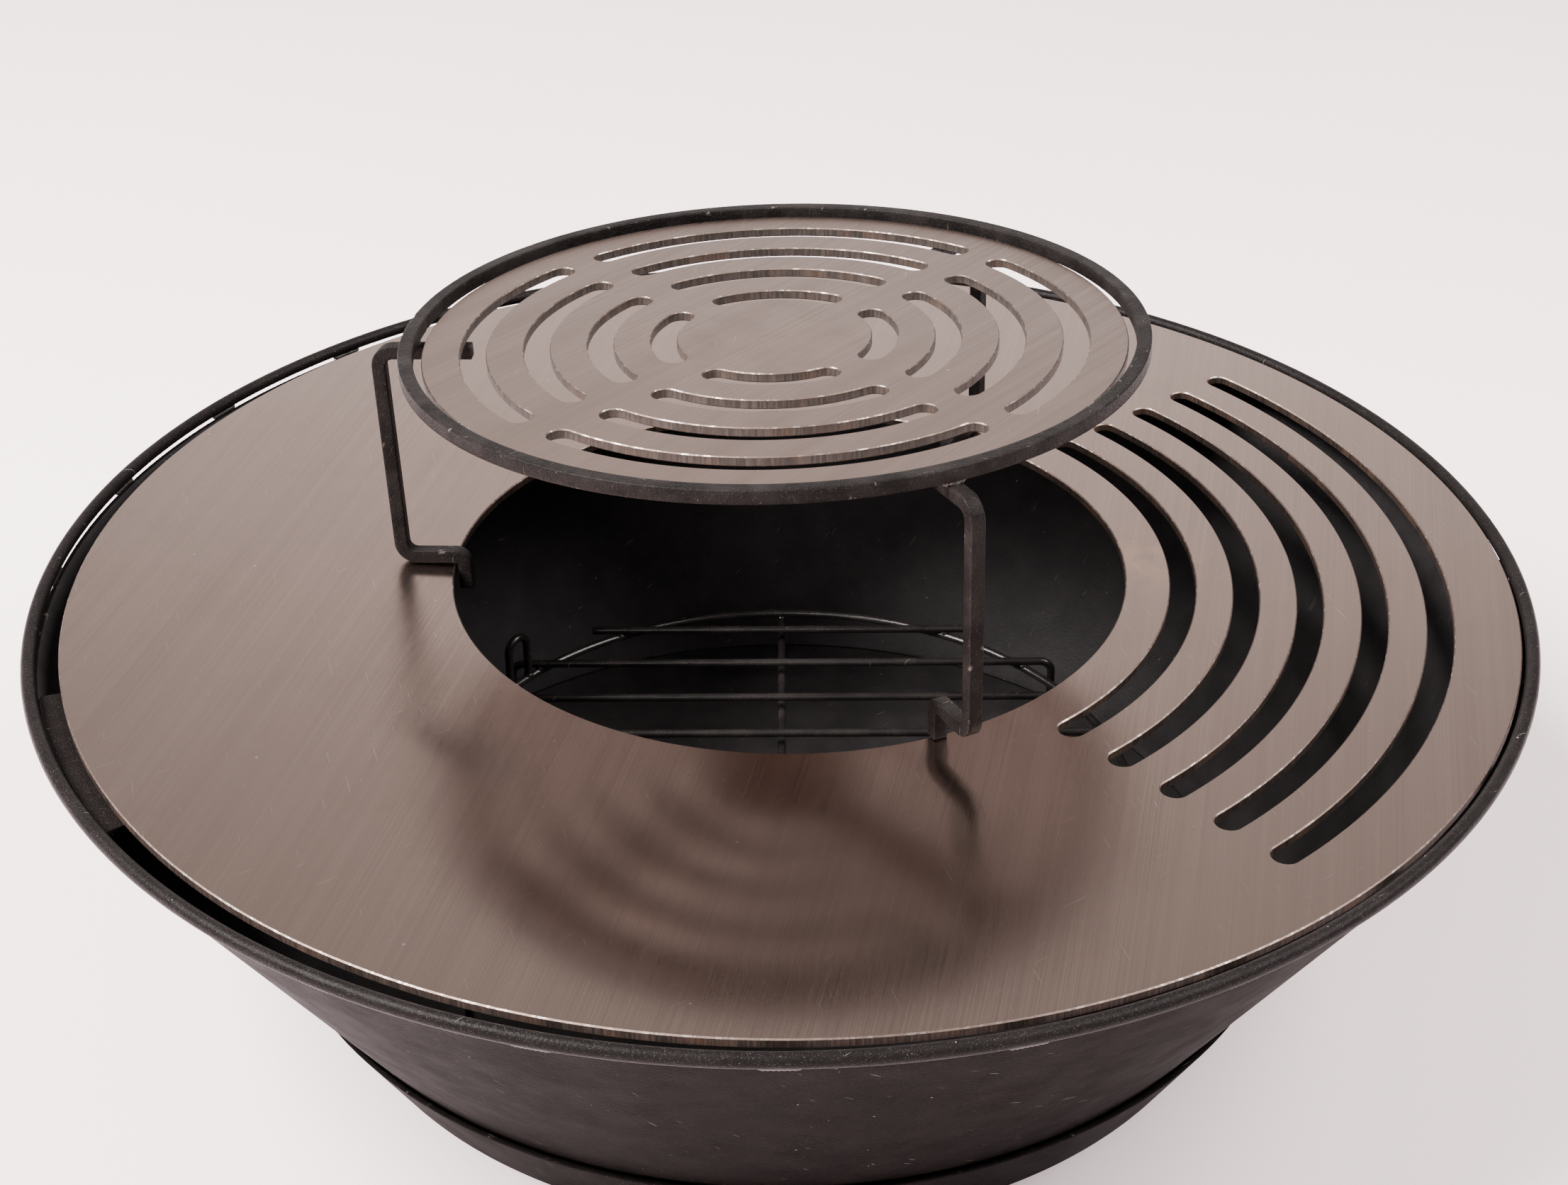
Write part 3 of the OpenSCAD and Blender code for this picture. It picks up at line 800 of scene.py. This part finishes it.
def rack_ring(steps=360):
    """Ring of square bar whose ends meet in a ground-back butt joint."""

    def butt(k, count):
        away = abs(2 * math.pi * k / count - BUTT_TURN) * rack_out
        return BUTT_SIZE if away < BUTT_GAP else 1.0

    b = Build()
    path = ring_path((rack_in + rack_out) / 2, RACK_HEIGHT - BAR / 2, steps)
    b.sweep(path, UP, square_section(BAR, BAR_EDGE), closed=True, scale=butt)
    b.finish("rack_ring", ["rack_ring"], "rack", [rack_coat], place=rack)


def stretch(start, end, count):
    """Points between two ends, without the ends."""
    return [(start[0] + (end[0] - start[0]) * k / count, start[1] + (end[1] - start[1]) * k / count)
            for k in range(1, count)]


def leg_line():
    """Middle line of a leg in radius and height: arm, upright, foot and hook."""
    arm_z = RACK_HEIGHT - BAR - ARM_GAP - BAR / 2
    leg_r = rack_out + LEG_STANDOFF - BAR / 2
    foot_r = leg_r - LEG_LEAN
    foot_z = BAR / 2
    hook_r = hole_r - HOOK_CLEAR - BAR / 2
    hook_end = float(rack_points("rack_leg_1")[1].min())
    bend = BEND_IN + BAR / 2
    hook_bend = HOOK_BEND + BAR / 2
    lean = math.degrees(math.atan(LEG_LEAN / (arm_z - foot_z)))
    line = [(disc_r - ARM_REACH, arm_z)]
    for part in (arc(leg_r - bend, arm_z - bend, bend, 90, -lean, 12),
                 arc(foot_r - bend, foot_z + bend, bend, -lean, -90, 12),
                 arc(hook_r + hook_bend, foot_z - hook_bend, hook_bend, 90, 180, 12),
                 [(hook_r, hook_end)]):
        line += stretch(line[-1], part[0], 8)
        line += part
    return line


def rack_leg(n, c, s):
    """Leg that leaves the rack's axis along (c, s)."""
    path = [(r * c, r * s, z) for r, z in leg_line()]
    b = Build()
    b.sweep(path, (s, -c, 0), square_section(BAR, BAR_EDGE), cap=0.12)
    b.finish(f"rack_leg_{n}", [f"rack_leg_{n}"], "rack", [rack_coat], place=rack)


def rack_weld(n, c, s):
    """Weld between an arm and the ring, with a smaller toe on each side of the bar."""
    node = f"rack_weld_{n}"
    lo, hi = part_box(node)
    half = (hi.z - lo.z) / 2
    spot = rack.inverted() @ middle(node)
    b = Build()
    b.blob(spot, [half * f for f in WELD_BULGE], n)
    for k, across in enumerate((-1, 1)):
        toe = spot + Vector((s, -c, 0)) * across * BAR * 0.5
        b.blob(toe, [half * f for f in TOE_BULGE], n + 4 + 3 * k, rough=0.16)
    b.finish(node, [node], "rack", [weld], place=rack)


rack_ring()
for n in range(LEG_COUNT):
    turn = LEG_TURN + 2 * math.pi * n / LEG_COUNT
    rack_leg(n + 1, math.cos(turn), math.sin(turn))
    rack_weld(n + 1, math.cos(turn), math.sin(turn))

# ---- fire grate ------------------------------------------------------------------------------
ring_in, ring_out = radii("grate_ring")
grate_r = (ring_in + ring_out) / 2
wire_r = (ring_out - ring_in) / 2
grate_z = middle("grate_ring").z
NUGGET = Vector((0.0026, 0.0026, 0.0012))   # weld where a bar crosses the ring
FOOT_RUN = 0.01     # lowest stretch of a foot
BEND_RUN = 0.004    # stretch just below a bend
wire = round_section(wire_r, 16)


def wire_piece(node, path, side, spots=(), seeds=(), closed=False, nugget=NUGGET):
    """Wire along a path, with a small weld nugget at each spot."""
    b = Build()
    b.sweep(path, side, wire, closed)
    for spot, seed in zip(spots, seeds):
        b.blob(spot, nugget, seed)
    b.finish(node, [node], "grate", [wire_coat])


def grate_cross_bar():
    """Straight bar under the others, welded to the ring at both ends."""
    lo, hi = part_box("grate_cross_bar")
    z = (lo.z + hi.z) / 2
    path = [(0, y, z) for y in np.linspace(lo.y, hi.y, 40)]
    spots = [(0, y, z + wire_r) for y in (-grate_r, grate_r)]
    wire_piece("grate_cross_bar", path, UP, spots, (3, 3))


def bent_line(x, low, z):
    """Middle line of a bar whose ends are bent down as feet, in x and z."""
    line = [(-x, low), (-x, low + FOOT_RUN), (-x, z - WIRE_BEND - BEND_RUN)]
    line += arc(-x + WIRE_BEND, z - WIRE_BEND, WIRE_BEND, 180, 90, 10)
    line += stretch(line[-1], (x - WIRE_BEND, z), 30)
    line += arc(x - WIRE_BEND, z - WIRE_BEND, WIRE_BEND, 90, 0, 10)
    return line + [(x, z - WIRE_BEND - BEND_RUN), (x, low + FOOT_RUN), (x, low)]


def grate_bar(n):
    """One bar across the grate. A bar whose box is taller than its wire has bent feet."""
    node = f"grate_bar_{n}"
    lo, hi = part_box(node)
    y, z = (lo.y + hi.y) / 2, hi.z - wire_r
    if hi.z - lo.z > 3 * wire_r:
        line = bent_line(hi.x - wire_r, lo.z, z)
    else:
        line = [(x, z) for x in np.linspace(lo.x, hi.x, 40)]
    x_cross = math.sqrt(grate_r ** 2 - y ** 2)
    spots = [(sign * x_cross, y, grate_z + wire_r) for sign in (-1, 1)]
    wire_piece(node, [(x, y, up) for x, up in line], (0, 1, 0), spots, (n - 1, n + 1))


def lifting_loop():
    """Upright loop that the grate is lifted by."""
    lo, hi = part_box("lifting_loop")
    mid = (lo + hi) / 2
    half = LOOP_WIDTH / 2
    across = Vector((-math.sin(LOOP_TURN), math.cos(LOOP_TURN), 0))
    top = hi.z - wire_r - half
    line = [(-half, lo.z)] + stretch((-half, lo.z), (-half, top), 8)
    line += arc(0, top, half, 180, 0, 20)
    line += stretch((half, top), (half, lo.z), 8) + [(half, lo.z)]
    path = [(mid.x + across.x * u, mid.y + across.y * u, z) for u, z in line]
    feet = [mid + across * half * sign for sign in (-1, 1)]
    spots = [(foot.x, foot.y, lo.z) for foot in feet]
    wire_piece("lifting_loop", path, across.cross(Vector(UP)), spots, (19, 21), nugget=NUGGET * 1.1)


wire_piece("grate_ring", ring_path(grate_r, grate_z, steps=300), UP, closed=True)
grate_cross_bar()
for n in range(GRATE_BARS):
    grate_bar(n + 1)
lifting_loop()

# ---- floor, light and camera -----------------------------------------------------------------
FLOOR_REACH = 14.0
LIGHT_AIM = (0, 0, 0.15)
SKY_STRENGTH = 1.15
# How far round from the front (0) to the back (1), and how bright the sky is there
SKY_SHADES = ((0.0, 0.20), (0.5, 0.26), (0.84, 0.36), (0.90, 0.60), (0.96, 1.2), (1.0, 1.6))


def pale_floor():
    """Wide matt floor, staged under the object."""
    mesh = bpy.data.meshes.new("floor")
    corner = FLOOR_REACH
    square = [(-corner, -corner, 0), (corner, -corner, 0), (corner, corner, 0), (-corner, corner, 0)]
    mesh.from_pydata(square, [], [(0, 1, 2, 3)])
    floor = bpy.data.objects.new("floor", mesh)
    bpy.context.scene.collection.objects.link(floor)
    paint = Shader("pale_floor")
    paint.set(Specular_IOR_Level=0.2)
    tone = paint.mix(paint.ramp(paint.noise(2.0, 3.0), 0.3, 0.7), (0.95, 0.80, 0.82, 1),
                     (0.97, 0.82, 0.84, 1))
    mesh.materials.append(paint.result(tone, 0.75))


def studio_sky():
    """Soft light, dark at the front and bright at the back (+Y), which the steel reflects."""
    world = bpy.data.worlds.new("studio")
    bpy.context.scene.world = world
    world.use_nodes = True
    tree = world.node_tree
    tree.nodes.clear()
    out = tree.nodes.new("ShaderNodeOutputWorld")
    sky = tree.nodes.new("ShaderNodeBackground")
    ramp = tree.nodes.new("ShaderNodeValToRGB")
    split = tree.nodes.new("ShaderNodeSeparateXYZ")
    where = tree.nodes.new("ShaderNodeTexCoord")
    lift = tree.nodes.new("ShaderNodeMapRange")
    lift.inputs["From Min"].default_value = -1.0
    lift.inputs["From Max"].default_value = 1.0
    stops = ramp.color_ramp.elements
    for place, shade in SKY_SHADES[1:-1]:
        stops.new(place)
    for stop, (place, shade) in zip(stops, SKY_SHADES):
        stop.position = place
        stop.color = (shade, shade * 0.94, shade * 0.92, 1)
    sky.inputs["Strength"].default_value = SKY_STRENGTH
    tree.links.new(where.outputs["Generated"], split.inputs[0])
    tree.links.new(split.outputs["Y"], lift.inputs["Value"])
    tree.links.new(lift.outputs[0], ramp.inputs[0])
    tree.links.new(ramp.outputs[0], sky.inputs["Color"])
    tree.links.new(sky.outputs[0], out.inputs[0])


def softbox(name, place, size, power, colour):
    """Square area light that faces the middle of the object."""
    data = bpy.data.lights.new(name, "AREA")
    data.shape = "SQUARE"
    data.size = size
    data.energy = power
    data.color = colour
    lamp = bpy.data.objects.new(name, data)
    bpy.context.scene.collection.objects.link(lamp)
    lamp.location = place
    lamp.rotation_mode = "QUATERNION"
    lamp.rotation_quaternion = (Vector(LIGHT_AIM) - Vector(place)).to_track_quat("-Z", "Y")


pale_floor()
studio_sky()
softbox("key", (-1.9, -0.6, 2.6), 1.8, 620.0, (1.0, 0.95, 0.94))
softbox("fill", (1.9, -0.3, 2.4), 1.8, 200.0, (1.0, 0.95, 0.94))
softbox("front", (-0.9, -2.9, 1.5), 1.5, 45.0, (1.0, 0.96, 0.95))

# Camera of the photograph, in griddle radii from the middle of the griddle's top face
CAMERA_BACK = 2.9627
CAMERA_HEIGHT = 1.7348
CAMERA_TILT = 0.5422
CAMERA_PAN = -0.0026
CAMERA_ROLL = -0.0068
CAMERA_LENS = 55.89
SENSOR = 36.0


def photo_camera():
    """Camera placed as the photographer's was."""
    eye = Vector((g_mid.x, g_mid.y - CAMERA_BACK * griddle_r, g_hi.z + CAMERA_HEIGHT * griddle_r))
    forward = Vector((math.sin(CAMERA_PAN) * math.cos(CAMERA_TILT),
                      math.cos(CAMERA_PAN) * math.cos(CAMERA_TILT), -math.sin(CAMERA_TILT)))
    level = Vector((math.cos(CAMERA_PAN), -math.sin(CAMERA_PAN), 0))
    upright = level.cross(forward)
    right = level * math.cos(CAMERA_ROLL) + upright * math.sin(CAMERA_ROLL)
    up = upright * math.cos(CAMERA_ROLL) - level * math.sin(CAMERA_ROLL)
    data = bpy.data.cameras.new("camera")
    data.lens = CAMERA_LENS
    data.sensor_width = SENSOR
    data.clip_end = 60.0
    camera = bpy.data.objects.new("camera", data)
    bpy.context.scene.collection.objects.link(camera)
    turn = Matrix((right, up, -forward)).transposed()
    camera.matrix_world = Matrix.Translation(eye) @ turn.to_4x4()
    return camera


bpy.context.scene.camera = photo_camera()

bpy.context.view_layer.update()
